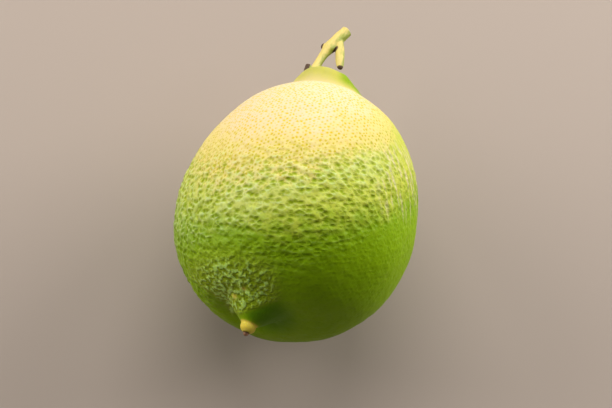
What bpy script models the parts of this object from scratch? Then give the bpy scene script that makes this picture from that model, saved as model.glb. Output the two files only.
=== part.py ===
"""A lemon as picked, lying on its side with a short stub of its stalk.

Blender 4.5, metres, +Z up. The fruit's own axis runs close to Y: the stem end points to +Y and the
blossom end, with its nipple, to -Y. The origin is the middle of the small flat spot that the fruit
rests on. Four pieces: the fruit, the calyx, the stem and the dry remnant of the style.
"""

import math

import bpy
import numpy as np
from mathutils import Matrix, Vector

# The fruit's body, measured from its centre at the widest girth.
HALF_WIDTH = 0.0315
STEM_REACH = 0.0404
BLOSSOM_REACH = 0.0301
STEM_FULLNESS = 0.89
BLOSSOM_FULLNESS = 0.70
# Gentle lobes of the girth: (lobes round the fruit, share of the radius, degrees of the first crest).
GIRTH_LOBES = ((2, 0.030, 86.0), (3, 0.016, 71.0), (4, 0.020, -31.0), (5, 0.008, -122.0))

# The neck at the stem end, its foot reaching further to +X. At +Z the foot is tucked in, and a shallow
# collar furrow sets it behind the body's shoulder. Places are (x, z) in the fruit's own frame.
NECK_PLACE = (-0.0029, 0.0036)
NECK_TOP = 0.0453
NECK_TOP_RADIUS = 0.0062
NECK_BASE_RADIUS = 0.0125
NECK_BASE_OFFSET = 0.0024
NECK_FRONT_TUCK = 0.0030
COLLAR_DEPTH = 0.0010
COLLAR_WIDTH = 0.0020
NECK_RIBS = 7
NECK_RIB_HEIGHT = 0.00042
NECK_RIB_SWAY = 1.3
NECK_RIB_START = 0.0020
NECK_RIB_END = 1.35

# The nipple at the blossom end: a cone, steep beside the furrow and gentle opposite, with a knob on its tip.
NIPPLE_PLACE = (-0.0038, 0.0010)
NIPPLE_LIFT = 0.0046
NIPPLE_STEEP_SLOPE = 1.45
NIPPLE_GENTLE_SLOPE = 0.55
NIPPLE_TIP_ROUNDING = 0.0022
FURROW_DEPTH = 0.0022
FURROW_INNER_RADIUS = 0.0050
FURROW_OUTER_RADIUS = 0.0135
FURROW_DEEPEST_SIDE = 245.0
FURROW_ROUNDING = 0.0005
KNOB_RADIUS = 0.0019
KNOB_HEIGHT = 0.0012

# Steps of the meridian when the rind's area is summed, and the share of the reach over which the girth's
# lobes fade out.
MERIDIAN_STEPS = 1500
LOBE_FADE_END = 1.35

# The rind's oil glands, drawn larger than life so that few faces can hold them.
GEODESIC_FREQUENCY = 21
GLAND_DEPTH = 0.00032
GLAND_DEPTH_BY_NIPPLE = 0.00038
DEEP_GLANDS_INNER = 0.008
DEEP_GLANDS_OUTER = 0.026
SCATTER = 0.00015
SEED = 11
GLAND_RIM_ANGLE = 11.0
# Glands fade out where the faces crowd, near the neck's top, and down to the flat spot.
CROWDING_WITHOUT_GLANDS = 1.5
CROWDING_FADE = 0.4
NECK_TOP_FADE = 0.003
FLAT_SPOT_MARGIN = 0.0002
FLAT_SPOT_FADE = 0.001
# Where the faces crowd together: (how many times denser in the middle, radius of the crowd).
NIPPLE_CROWD = (4.5, 0.0030)
NECK_CROWD = (1.2, 0.0090)

# How the fruit lies: its weight over the middle of the flat spot, which is the origin. The flat spot is
# where the round shape would reach below the surface, by 0.3 mm at most.
STEM_END_DIP = 9.8
SIDEWAYS_ROLL = -11.9
CENTRE_PLACE = (0.0, -0.0036, 0.03315)

# The calyx, a five-lobed button, with the place (x, z) where it and the stem stand on the neck's top, and
# the gap that separate pieces keep.
CALYX_PLACE = (-0.0065, 0.0036)
CALYX_RADIUS = 0.0033
CALYX_LOBES = 5
CALYX_LOBE_SHARE = 0.16
CALYX_RIM_THICKNESS = 0.0007
CALYX_MIDDLE_THICKNESS = 0.0017
GAP = 0.0003

# The stem's stub: its foot flares on the calyx, and it leans ever more to +X towards its cut end.
STEM_LENGTH = 0.0165
STEM_LEAN = 0.0056
STEM_LEAN_POWER = 1.75
STEM_FOOT_RADIUS = 0.0020
STEM_THIN_RADIUS = 0.00115
STEM_CUT_RADIUS = 0.00170
STEM_FLARE_SHARE = 0.07
STEM_WIDENING_START = 0.30
STEM_WIDENING_SHARE = 0.45
# What fallen flower stalks left on it: (share of the stem's length, degrees round it, rise of the
# direction, length, radius). The first is the spur that hangs beside the stem.
STALK_SCARS = (
    (0.84, -4.0, -4.1, 0.0114, 0.00125),
    (0.56, 176.0, 0.25, 0.0024, 0.00090),
    (0.62, 20.0, -0.4, 0.0020, 0.00080),
)

# The dry remnant of the style on the knob.
STYLE_RADIUS = 0.00075
STYLE_LENGTH = 0.0009


def smooth_step(share):
    """0 below 0, 1 above 1, and 3t^2 - 2t^3 between."""
    share = np.clip(share, 0.0, 1.0)
    return share * share * (3.0 - 2.0 * share)


def geodesic_sphere(frequency):
    """An icosahedron with each face split into frequency^2 triangles and pressed onto a unit sphere.

    A point with shares i, j, k of a face's corners goes where the corners, weighted by the sine of
    their share of the edge's arc, add up to. Returns the points, the triangles and each point's i - j,
    whose remainder by 3 is the same in every face that shares the point.
    """
    golden = (1.0 + math.sqrt(5.0)) / 2.0
    corners = []
    for a in (-1.0, 1.0):
        for b in (-golden, golden):
            corners += [(0.0, a, b), (a, b, 0.0), (b, 0.0, a)]
    corners = np.array(corners) / math.hypot(1.0, golden)
    edge_arc = math.acos(1.0 / math.sqrt(5.0))
    near = corners @ corners.T > math.cos(edge_arc) - 0.01
    grid = [(i, j) for i in range(frequency + 1) for j in range(frequency + 1 - i)]
    number = {place: n for n, place in enumerate(grid)}
    ups = [(number[i, j], number[i + 1, j], number[i, j + 1]) for i, j in grid if i + j < frequency]
    downs = [
        (number[i + 1, j], number[i + 1, j + 1], number[i, j + 1])
        for i, j in grid
        if i + j < frequency - 1
    ]
    local = np.array(ups + downs)
    shares = np.array([(i, j, frequency - i - j) for i, j in grid])
    weights = np.sin(shares / frequency * edge_arc)
    points, faces, classes = [], [], []
    for a in range(12):
        for b in range(a + 1, 12):
            for c in range(b + 1, 12):
                if not (near[a, b] and near[b, c] and near[a, c]):
                    continue
                outwards = np.dot(np.cross(corners[a], corners[b]), corners[c]) > 0
                order = (a, b, c) if outwards else (a, c, b)
                faces.append(local + len(grid) * len(points))
                points.append(weights @ corners[list(order)])
                classes.append((shares[:, 0] - shares[:, 1]) % 3)
    points = np.concatenate(points)
    points /= np.linalg.norm(points, axis=1)[:, None]
    _, first, index = np.unique(np.round(points, 6), axis=0, return_index=True, return_inverse=True)
    return points[first], index.reshape(-1)[np.concatenate(faces)], np.concatenate(classes)[first]


def cap_height(across, reach, fullness):
    """How far the plain body reaches along its axis at this distance from it: r = W sin^f s, y = L cos s."""
    sine = np.clip(across / HALF_WIDTH, 0.0, 1.0) ** (1.0 / fullness)
    return reach * np.sqrt(1.0 - sine * sine)


def neck_height(cap, distance, bearing):
    """The stem end's reach: the body's cap, lifted by the neck, with ribs down it and a furrow in front."""
    front = np.clip(np.sin(bearing), 0.0, 1.0) ** 2
    foot = NECK_BASE_RADIUS + NECK_BASE_OFFSET * np.cos(bearing) - NECK_FRONT_TUCK * front
    raised = smooth_step((foot - distance) / (foot - NECK_TOP_RADIUS))
    started = smooth_step((distance - NECK_TOP_RADIUS) / NECK_RIB_START)
    ended = smooth_step(NECK_RIB_END - distance / foot)
    ribs = NECK_RIB_HEIGHT * np.cos(NECK_RIBS * bearing + NECK_RIB_SWAY * np.sin(2.0 * bearing))
    collar = COLLAR_DEPTH * front * np.exp(-(((distance - foot) / COLLAR_WIDTH) ** 2))
    return cap + (NECK_TOP - cap) * raised + ribs * started * ended - collar


def knob_height(distance):
    """A low dome: full height in the middle, none past the knob's radius."""
    return KNOB_HEIGHT * np.sqrt(np.clip(1.0 - (distance / KNOB_RADIUS) ** 2, 0.0, 1.0))


def nipple_height(cap, distance, bearing):
    """The blossom end's reach: the body's cap, lifted by the nipple's cone and sunk by its furrow.

    The cone falls away from its rounded tip, steep on the furrow's side. The furrow is deepest beside
    the cone and fades outwards. The two meet in a rounded maximum, k log(e^(a/k) + e^(b/k)).
    """
    side = 0.5 + 0.5 * np.cos(bearing - math.radians(FURROW_DEEPEST_SIDE))
    slope = NIPPLE_GENTLE_SLOPE + (NIPPLE_STEEP_SLOPE - NIPPLE_GENTLE_SLOPE) * side
    cone = NIPPLE_LIFT - slope * (np.hypot(distance, NIPPLE_TIP_ROUNDING) - NIPPLE_TIP_ROUNDING)
    width = FURROW_OUTER_RADIUS - FURROW_INNER_RADIUS
    furrow = -FURROW_DEPTH * side * smooth_step((FURROW_OUTER_RADIUS - distance) / width)
    k = FURROW_ROUNDING
    return cap + k * np.logaddexp(cone / k, furrow / k) + knob_height(distance)


def knob_reach():
    """How far the knob's top stands from the fruit's centre."""
    cap = cap_height(math.hypot(*NIPPLE_PLACE), BLOSSOM_REACH, BLOSSOM_FULLNESS)
    return nipple_height(cap, 0.0, 0.0)


def crowd(distance, extra, radius):
    """How many times denser than elsewhere the faces stand at this distance: 1 + (n - 1) e^-(d/r)^2."""
    return 1.0 + (extra - 1.0) * np.exp(-((distance / radius) ** 2))


def even_spread(directions):
    """Maps unit directions to (distance from the axis, on the stem half, crowding), in even areas of rind.

    Each half's meridian is cut into short steps, its area is summed from the pole with the crowds
    weighted in, and a direction takes the distance at which that sum is its own share of the sphere.
    """
    angle = np.linspace(0.0, math.pi / 2.0, MERIDIAN_STEPS)
    halves = []
    for height, reach, fullness, dense in (
        (neck_height, STEM_REACH, STEM_FULLNESS, NECK_CROWD),
        (nipple_height, BLOSSOM_REACH, BLOSSOM_FULLNESS, NIPPLE_CROWD),
    ):
        across = HALF_WIDTH * np.sin(angle) ** fullness
        along = height(reach * np.cos(angle), across, np.zeros_like(across))
        area = np.hypot(np.diff(across), np.diff(along)) * (across[1:] + across[:-1])
        area = area * crowd(across[1:], *dense)
        halves.append((across, np.concatenate([[0.0], np.cumsum(area)])))
    stem_area, blossom_area = halves[0][1][-1], halves[1][1][-1]
    share = (1.0 - directions[:, 1]) / 2.0 * (stem_area + blossom_area)
    on_stem_half = share <= stem_area
    from_blossom = stem_area + blossom_area - share
    across = np.where(
        on_stem_half,
        np.interp(share, halves[0][1], halves[0][0]),
        np.interp(from_blossom, halves[1][1], halves[1][0]),
    )
    crowding = np.where(on_stem_half, crowd(across, *NECK_CROWD), crowd(across, *NIPPLE_CROWD))
    return across, on_stem_half, crowding


def offset_from(place, x, z):
    """(distance, bearing) of points from a place on the cap."""
    return np.hypot(x - place[0], z - place[1]), np.arctan2(z - place[1], x - place[0])


def fruit_surface(directions):
    """Points of the smooth fruit in its own frame, centred on its girth, and the crowding there.

    A direction gives a place across the axis, the two poles are slid under the neck and the nipple,
    and the reach along the axis follows from the cap's formula and what stands on it.
    """
    across, on_stem_half, crowding = even_spread(directions)
    turn = np.arctan2(directions[:, 2], directions[:, 0])
    near_pole = (1.0 - (across / HALF_WIDTH) ** 2) ** 2
    x = across * np.cos(turn) + near_pole * np.where(on_stem_half, NECK_PLACE[0], NIPPLE_PLACE[0])
    z = across * np.sin(turn) + near_pole * np.where(on_stem_half, NECK_PLACE[1], NIPPLE_PLACE[1])
    middle = np.hypot(x, z)
    stem_side = neck_height(cap_height(middle, STEM_REACH, STEM_FULLNESS), *offset_from(NECK_PLACE, x, z))
    blossom_cap = cap_height(middle, BLOSSOM_REACH, BLOSSOM_FULLNESS)
    blossom_side = nipple_height(blossom_cap, *offset_from(NIPPLE_PLACE, x, z))
    y = np.where(on_stem_half, stem_side, -blossom_side)
    # The girth's lobes fade out towards both ends.
    fade = smooth_step(LOBE_FADE_END - np.abs(y) / np.where(on_stem_half, STEM_REACH, BLOSSOM_REACH))
    girth = 1.0 + fade * sum(
        share * np.cos(count * turn - math.radians(crest)) for count, share, crest in GIRTH_LOBES
    )
    return np.stack([x * girth, y, z * girth], axis=1), crowding


def vertex_normals(points, faces):
    """Unit normals at the points, each the sum of its triangles' own normals weighted by area."""
    corners = points[faces]
    flat = np.cross(corners[:, 1] - corners[:, 0], corners[:, 2] - corners[:, 0])
    normals = np.zeros_like(points)
    for corner in range(3):
        np.add.at(normals, faces[:, corner], flat)
    return normals / np.linalg.norm(normals, axis=1)[:, None]


def lying_turn():
    """The turn from the fruit's own frame to how it lies: stem end dipped, rolled a little."""
    dip = Matrix.Rotation(math.radians(-STEM_END_DIP), 3, "X")
    roll = Matrix.Rotation(math.radians(SIDEWAYS_ROLL), 3, "Y")
    return np.array(dip @ roll)


def material(name, colour, roughness):
    """A Principled material with one colour."""
    made = bpy.data.materials.new(name)
    made.use_nodes = True
    shader = made.node_tree.nodes["Principled BSDF"]
    shader.inputs["Base Color"].default_value = (*colour, 1.0)
    shader.inputs["Roughness"].default_value = roughness
    shader.inputs["Metallic"].default_value = 0.0
    made.diffuse_color = (*colour, 1.0)
    return made


def mesh_object(name, points, faces, finish):
    """A smooth-shaded object made of these points and faces."""
    mesh = bpy.data.meshes.new(name)
    mesh.from_pydata([tuple(map(float, p)) for p in points], [], [tuple(map(int, f)) for f in faces])
    mesh.shade_smooth()
    mesh.materials.append(finish)
    made = bpy.data.objects.new(name, mesh)
    bpy.context.scene.collection.objects.link(made)
    return made


def gland_strength(smooth, crowding):
    """Full where the rind is plain, none on the knob, the crowded nipple and the neck's top."""
    from_neck = offset_from(NECK_PLACE, smooth[:, 0], smooth[:, 2])[0]
    past_neck_top = smooth_step((from_neck - NECK_TOP_RADIUS) / NECK_TOP_FADE)
    clear_of_neck_top = np.where(smooth[:, 1] > 0.0, past_neck_top, 1.0)
    return smooth_step((CROWDING_WITHOUT_GLANDS - crowding) / CROWDING_FADE) * clear_of_neck_top


def make_fruit(finish):
    """The rind as one closed surface: the smooth shape, its glands sunk into it, and the flat spot."""
    directions, faces, classes = geodesic_sphere(GEODESIC_FREQUENCY)
    smooth, crowding = fruit_surface(directions)
    normals = vertex_normals(smooth, faces)
    from_nipple = offset_from(NIPPLE_PLACE, smooth[:, 0], smooth[:, 2])[0]
    nearness = (DEEP_GLANDS_OUTER - from_nipple) / (DEEP_GLANDS_OUTER - DEEP_GLANDS_INNER)
    by_nipple = smooth_step(nearness) * (smooth[:, 1] < 0.0)
    random = np.random.default_rng(SEED)
    depth = (GLAND_DEPTH + (GLAND_DEPTH_BY_NIPPLE - GLAND_DEPTH) * by_nipple) * (classes == 0)
    depth *= random.uniform(0.7, 1.3, len(smooth))
    scatter = random.uniform(-SCATTER, SCATTER, smooth.shape)
    scatter -= normals * np.sum(scatter * normals, axis=1)[:, None]
    turn = lying_turn()
    above = (smooth @ turn.T)[:, 2] + CENTRE_PLACE[2]
    strength = gland_strength(smooth, crowding) * smooth_step((above - FLAT_SPOT_MARGIN) / FLAT_SPOT_FADE)
    sunk = smooth + (scatter - normals * depth[:, None]) * strength[:, None]
    points = sunk @ turn.T + np.array(CENTRE_PLACE)
    points[:, 2] = np.maximum(points[:, 2], 0.0)
    fruit = mesh_object("fruit", points, faces, finish)
    fruit.data.set_sharp_from_angle(angle=math.radians(GLAND_RIM_ANGLE))


def lathe(radii, heights, sides, lobed=None):
    """A closed turned shape about +Z: rings from first to last with a point at each end.

    lobed, if given, is a function of (angles, ring number) that scales a ring's radius.
    """
    angles = np.arange(sides) * 2.0 * math.pi / sides
    points = [(0.0, 0.0, heights[0])]
    for ring, (radius, height) in enumerate(zip(radii[1:-1], heights[1:-1])):
        reach = radius * (lobed(angles, ring) if lobed else np.ones(sides))
        points += list(zip(reach * np.cos(angles), reach * np.sin(angles), [height] * sides))
    points.append((0.0, 0.0, heights[-1]))
    last = len(points) - 1
    rings = len(radii) - 2
    faces = []
    for n in range(sides):
        m = (n + 1) % sides
        faces.append((0, 1 + m, 1 + n))
        for ring in range(rings - 1):
            low, high = 1 + ring * sides, 1 + (ring + 1) * sides
            faces.append((low + n, low + m, high + m, high + n))
        faces.append((last, 1 + (rings - 1) * sides + n, 1 + (rings - 1) * sides + m))
    return points, faces


def make_calyx(finish, seat):
    """The calyx: a low button with five rounded lobes, flat underneath and thicker in the middle."""
    rim, middle = CALYX_RIM_THICKNESS, CALYX_MIDDLE_THICKNESS
    radii = [0.0, 0.93, 1.0, 1.0, 0.92, 0.72, 0.60, 0.0]
    heights = [0.0, 0.0, 0.25 * rim, 0.75 * rim, rim, 0.8 * middle, middle, middle]

    def lobed(angles, ring):
        strength = CALYX_LOBE_SHARE if ring < 4 else 0.3 * CALYX_LOBE_SHARE
        return 1.0 + strength * np.cos(CALYX_LOBES * angles)

    points, faces = lathe([r * CALYX_RADIUS for r in radii], heights, 40, lobed)
    made = mesh_object("calyx", points, faces, finish)
    made.parent = seat
    made.location = (0.0, 0.0, GAP)
    return made


def stem_centreline(share):
    """Points up the stem and its direction there: out of the calyx, then leaning ever more to +X."""
    still = 0.0 * share
    path = np.stack([STEM_LEAN * share**STEM_LEAN_POWER, still, STEM_LENGTH * share], axis=1)
    lean = STEM_LEAN * STEM_LEAN_POWER * share ** (STEM_LEAN_POWER - 1.0)
    along = np.stack([lean, still, still + STEM_LENGTH], axis=1)
    return path, along / np.linalg.norm(along, axis=1)[:, None]


def tube(path, along, radii, sides):
    """A closed tube along a path that lies in the XZ plane, with flat ends square to the path."""
    angles = np.arange(sides) * 2.0 * math.pi / sides
    side = np.stack([along[:, 2], 0.0 * along[:, 1], -along[:, 0]], axis=1)
    across = np.array([0.0, 1.0, 0.0])
    ring = np.cos(angles)[None, :, None] * side[:, None, :] + np.sin(angles)[None, :, None] * across
    points = (path[:, None, :] + radii[:, None, None] * ring).reshape(-1, 3)
    rings = len(path)
    faces = [tuple(range(sides - 1, -1, -1)), tuple((rings - 1) * sides + n for n in range(sides))]
    for low in range(rings - 1):
        for n in range(sides):
            m = (n + 1) % sides
            faces.append((low * sides + n, low * sides + m, (low + 1) * sides + m, (low + 1) * sides + n))
    return points, faces


def make_stem(finish, seat):
    """The stub of the fruit stalk, with the knuckles that fallen flower stalks leave on it."""
    share = np.linspace(0.0, 1.0, 12)
    path, along = stem_centreline(share)
    flare = (STEM_FOOT_RADIUS - STEM_THIN_RADIUS) * np.exp(-share / STEM_FLARE_SHARE)
    widened = smooth_step((share - STEM_WIDENING_START) / STEM_WIDENING_SHARE)
    radii = STEM_THIN_RADIUS + (STEM_CUT_RADIUS - STEM_THIN_RADIUS) * widened + flare
    stem = mesh_object("stem", *tube(path, along, radii, 14), finish)
    stem.parent = seat
    stem.location = (0.0, 0.0, CALYX_MIDDLE_THICKNESS + 2.0 * GAP)
    for number, (height, side, rise, length, radius) in enumerate(STALK_SCARS):
        heights = [0.0, 0.0, 0.35 * length, 0.8 * length, 0.97 * length, length]
        shape = lathe([0.0, 1.15 * radius, radius, 0.95 * radius, 0.6 * radius, 0.0], heights, 10)
        knuckle = mesh_object(f"stalk_scar_{number}", *shape, finish)
        knuckle.parent = stem
        knuckle.location = (STEM_LEAN * height**STEM_LEAN_POWER, 0.0, STEM_LENGTH * height)
        outwards = Vector((math.cos(math.radians(side)), math.sin(math.radians(side)), rise))
        knuckle.rotation_mode = "QUATERNION"
        knuckle.rotation_quaternion = outwards.to_track_quat("Z", "Y")
        knuckle.hide_render = True
        knuckle.display_type = "WIRE"
        join = stem.modifiers.new(f"scar_{number}", "BOOLEAN")
        join.operation = "UNION"
        join.solver = "EXACT"
        join.object = knuckle
    return stem


def make_style(finish, tip):
    """The dry stump of the flower's style, a small rounded peg."""
    radii = [0.0, 1.0, 0.95, 0.7, 0.0]
    heights = [0.0, 0.0, 0.55, 0.9, 1.0]
    shape = lathe([r * STYLE_RADIUS for r in radii], [h * STYLE_LENGTH for h in heights], 12)
    made = mesh_object("style_remnant", *shape, finish)
    made.parent = tip
    made.location = (0.0, 0.0, GAP)
    return made


def seat_empty(name, place, outwards):
    """An empty on the fruit whose +Z points out of the rind, for the pieces that stand there."""
    turn = Matrix(lying_turn())
    laid = turn @ Vector(place) + Vector(CENTRE_PLACE)
    out = turn @ Vector(outwards)
    across = turn @ Vector((1.0, 0.0, 0.0))
    across = (across - out * across.dot(out)).normalized()
    basis = Matrix((across, out.cross(across), out)).transposed()
    seat = bpy.data.objects.new(name, None)
    seat.matrix_world = Matrix.Translation(laid) @ basis.to_4x4()
    bpy.context.scene.collection.objects.link(seat)
    return seat


def main():
    for old in list(bpy.data.objects):
        bpy.data.objects.remove(old)
    rind = material("rind", (0.40, 0.48, 0.04), 0.42)
    sepal = material("calyx_green", (0.22, 0.33, 0.05), 0.55)
    stalk = material("stalk_yellow_green", (0.48, 0.44, 0.14), 0.60)
    dry = material("dry_style", (0.20, 0.10, 0.04), 0.85)
    make_fruit(rind)
    seat = seat_empty("neck_seat", (CALYX_PLACE[0], NECK_TOP, CALYX_PLACE[1]), (0.0, 1.0, 0.0))
    knob_top = (NIPPLE_PLACE[0], -float(knob_reach()), NIPPLE_PLACE[1])
    tip = seat_empty("nipple_tip", knob_top, (0.0, -1.0, 0.0))
    make_calyx(sepal, seat)
    make_stem(stalk, seat)
    make_style(dry, tip)


main()
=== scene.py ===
"""The looks of a half-ripe lemon, picked with a stub of its stalk and lying on its side.

Everything is in metres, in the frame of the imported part: +Z up, the origin in the middle of the flat
spot that the fruit rests on. The fruit has a frame of its own as well, centred on its girth, with +Y
towards the stem end. Shapes are worked out there and then laid down.
"""

import math
from itertools import combinations

import bpy
import numpy as np
from bpy.props import FloatProperty, FloatVectorProperty, IntProperty, PointerProperty
from mathutils import Matrix, Vector


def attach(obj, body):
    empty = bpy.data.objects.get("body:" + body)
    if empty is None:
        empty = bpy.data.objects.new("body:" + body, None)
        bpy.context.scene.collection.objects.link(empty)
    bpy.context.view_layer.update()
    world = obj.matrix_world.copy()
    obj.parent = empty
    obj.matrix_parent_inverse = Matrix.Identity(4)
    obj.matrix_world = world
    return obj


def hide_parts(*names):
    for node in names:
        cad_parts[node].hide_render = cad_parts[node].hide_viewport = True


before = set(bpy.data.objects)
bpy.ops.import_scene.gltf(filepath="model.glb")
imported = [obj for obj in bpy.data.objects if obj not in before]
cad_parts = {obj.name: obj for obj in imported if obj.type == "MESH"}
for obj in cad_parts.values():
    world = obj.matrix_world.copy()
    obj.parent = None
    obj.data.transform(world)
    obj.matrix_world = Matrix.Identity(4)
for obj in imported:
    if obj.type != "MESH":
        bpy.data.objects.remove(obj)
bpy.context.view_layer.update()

bl_info = {
    "name": "Half-ripe lemon",
    "version": (1, 0, 0),
    "blender": (4, 5, 0),
    "location": "View3D > Sidebar > Lemon",
    "description": "Builds the rind, calyx, stem and style of a half-ripe lemon and its studio",
    "category": "Add Mesh",
}

# The body, measured from its centre at the widest girth, as in the solids.
HALF_WIDTH = 0.0315
STEM_REACH = 0.0404
BLOSSOM_REACH = 0.0301
STEM_FULLNESS = 0.89
BLOSSOM_FULLNESS = 0.70
# Gentle lobes of the girth: (lobes round the fruit, share of the radius, degrees of the first crest).
GIRTH_LOBES = ((2, 0.030, 86.0), (3, 0.016, 71.0), (4, 0.020, -31.0), (5, 0.008, -122.0))

# The neck, set behind the body's shoulder by a collar furrow. Places are (x, z) in the fruit's own frame.
NECK_PLACE = (-0.0029, 0.0036)
NECK_TOP = 0.0453
NECK_TOP_RADIUS = 0.0062
NECK_BASE_RADIUS = 0.0125
NECK_BASE_OFFSET = 0.0024
NECK_FRONT_TUCK = 0.0030
COLLAR_DEPTH = 0.0010
COLLAR_WIDTH = 0.0020
NECK_RIBS = 7
NECK_RIB_HEIGHT = 0.00042
NECK_RIB_SWAY = 1.3
NECK_RIB_START = 0.0020
NECK_RIB_END = 1.35

# The nipple, its furrow and its knob.
NIPPLE_PLACE = (-0.0038, 0.0010)
NIPPLE_LIFT = 0.0046
NIPPLE_STEEP_SLOPE = 1.45
NIPPLE_GENTLE_SLOPE = 0.55
NIPPLE_TIP_ROUNDING = 0.0022
FURROW_DEPTH = 0.0022
FURROW_INNER_RADIUS = 0.0050
FURROW_OUTER_RADIUS = 0.0135
FURROW_DEEPEST_SIDE = 245.0
FURROW_ROUNDING = 0.0005
KNOB_RADIUS = 0.0019
KNOB_HEIGHT = 0.0012
# How much rounder the knob is than in the solids: further out in the middle and round its waist.
KNOB_RISE = 0.0006
KNOB_BULGE = 0.00018
# Yellow specks on the nipple's flank: (place to the right and up, as the photograph sees it, radius).
SPECKS = ((-0.0154, -0.0189, 0.0006), (-0.0129, -0.0167, 0.0005))
# The bulge round the knob's waist: (place, width), both in knob radii.
KNOB_WAIST = (0.80, 0.28)

# Where the rind changes, in metres from the nipple, from the neck, or to the photograph's right and up
# from the fruit's centre. A pair is where a change starts and the width that it takes. Slopes and
# shares have no unit, and the bearing is in degrees.
KNOB_APRON = 0.002
KNOB_MARGIN = 0.0008
NECK_SMOOTH = (0.0045, 0.004)
NECK_EDGE = 0.24
SUNNY_RIB_BEARING = 110.0
SUNNY_RIB_EDGE = (0.42, 0.50)
FLOOR_CLEARANCE = (0.0001, 0.001)
RIPE_RELIEF = (0.012, 0.013)
FLANK_REACH = (0.0225, 0.009)
FLANK_EDGE = 0.006
# Painted shade on the nipple's far side, away from the light: how far it reaches, and the edge it shares
# with the flank.
LEE_REACH = (0.014, 0.007)
LEE_EDGE = -0.002
LEE_BEND = -0.0195
LEE_BEND_SLOPE = 2.5
# The painted shade on the nipple's far side has its edges this far inside the flank's: (from the far side's
# edge line, from the crease).
LEE_INSETS = ((0.004, 0.005), (0.004, 0.003))
# The crease on the nipple's left: its place to the right and up, and its slopes below and above.
CREASE_PLACE = (-0.0193, -0.0209)
CREASE_SLOPES = (0.5, 1.4)
CREASE_WIDTH = 0.0015
# The rind is rough up to this far right at mid height, further by the slope above it, and no further.
ROUGH_EDGE = 0.021
ROUGH_EDGE_SLOPE = 1.8
ROUGH_EDGE_LIMIT = 0.030
ROUGH_FADE = 0.020
ROUGH_LEAST = 0.26
# The sheen on the ridges, painted in colour and given a coat, and the pits reach down to here. They reach
# lower left of LEFT_START, and the sheen higher to the right, by these shares of the distance.
LIT_RISE = (-0.0030, 0.014)
FADING_RISE = (-0.020, 0.016)
FADING_LEAST = 0.35
LEFT_START = -0.005
LEFT_LIT = 0.35
LEFT_FADING = 0.5
RIGHT_LIT = 0.40
# The painted highlight streaks on the right rim: where they start, from below, from behind and from above.
RIM_SIDE = (0.019, 0.006)
RIM_FOOT = (-0.002, 0.010)
RIM_BACK = (-0.003, 0.006)
RIM_TOP = (0.024, 0.008)
RIM_STREAK = (0.3, 1.0)

# Noise: (wavelength, seed), how far it may swing, and the heights of what isn't in the settings.
SWELL_WAVES = (0.0026, 3)
SMALL_PEBBLE_WAVES = (0.0015, 5)
LARGE_PEBBLE_WAVES = (0.0030, 7)
BODY_WAVES = (0.017, 9)
STREAK_WAVES = (0.0015, 11)
SEPAL_WAVES = (0.0009, 21)
BARK_WAVES = (0.0011, 31)
STYLE_WAVES = (0.0007, 41)
NOISE_LIMIT = 1.6
BODY_WAVE_HEIGHT = 0.00010
SEPAL_WAVE_HEIGHT = 0.00003
BARK_WAVE_HEIGHT = 0.00004
STYLE_WAVE_HEIGHT = 0.00005

# Steps of the meridian when the rind's area is summed, and the share of the reach over which the girth's
# lobes fade out.
MERIDIAN_STEPS = 1500
LOBE_FADE_END = 1.35

# Where the mesh points crowd together: (how many times denser in the middle, radius of the crowd).
NIPPLE_CROWD = (4.5, 0.0030)
NECK_CROWD = (1.2, 0.0090)

# The glands: their seed, how many spacings they stray, the range of their depths, and the power of the
# crowding that makes them shallower.
GLAND_SEED = 4
GLAND_STRAY = 0.36
GLAND_DEPTHS = (0.45, 1.25)
GLAND_CROWDING_POWER = 0.7

# How the fruit lies.
STEM_END_DIP = 9.8
SIDEWAYS_ROLL = -11.9
CENTRE_PLACE = np.array([0.0, -0.0036, 0.03315])
LYING_TURN = np.array(
    Matrix.Rotation(math.radians(-STEM_END_DIP), 3, "X")
    @ Matrix.Rotation(math.radians(SIDEWAYS_ROLL), 3, "Y")
)

# The calyx and the stem's stub.
CALYX_PLACE = (-0.0065, 0.0036)
CALYX_RADIUS = 0.0033
CALYX_LOBES = 5
CALYX_RIM_THICKNESS = 0.0007
CALYX_MIDDLE_THICKNESS = 0.0017
CALYX_SIDES = 120
# Rows of points under the calyx, round its rim and over its top.
CALYX_ROWS = (12, 5, 26)
CALYX_GROOVE = 0.00022
CALYX_LOBE_RISE = 0.00018
CALYX_DRIED_RISE = 0.0018
GAP = 0.0003
STEM_LENGTH = 0.0165
STEM_LEAN = 0.0056
STEM_LEAN_POWER = 1.75
STEM_FOOT_RADIUS = 0.0020
STEM_THIN_RADIUS = 0.00115
STEM_CUT_RADIUS = 0.00170
STEM_FLARE_SHARE = 0.07
STEM_WIDENING_START = 0.30
STEM_WIDENING_SHARE = 0.45
STEM_STEPS = 60
STEM_SIDES = 40
SCAR_STEPS = 24
STEM_SWELLING = 0.00022
# The swelling's place and width, as shares of the stem's length.
STEM_SWELLING_PLACE = (0.56, 0.09)
STEM_VOXEL = 0.00015
# What fallen flower stalks left on the stem: (share of the stem's length, degrees round it, rise of the
# direction, length, radius). The first is the spur that hangs beside the stem.
STALK_SCARS = (
    (0.84, -4.0, -4.1, 0.0114, 0.00125),
    (0.56, 176.0, 0.25, 0.0024, 0.00090),
    (0.62, 20.0, -0.4, 0.0020, 0.00080),
)
STYLE_RADIUS = 0.00075
STYLE_LENGTH = 0.0009
STYLE_STAND = 0.35
STYLE_STEPS = 22
STYLE_SIDES = 48

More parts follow.
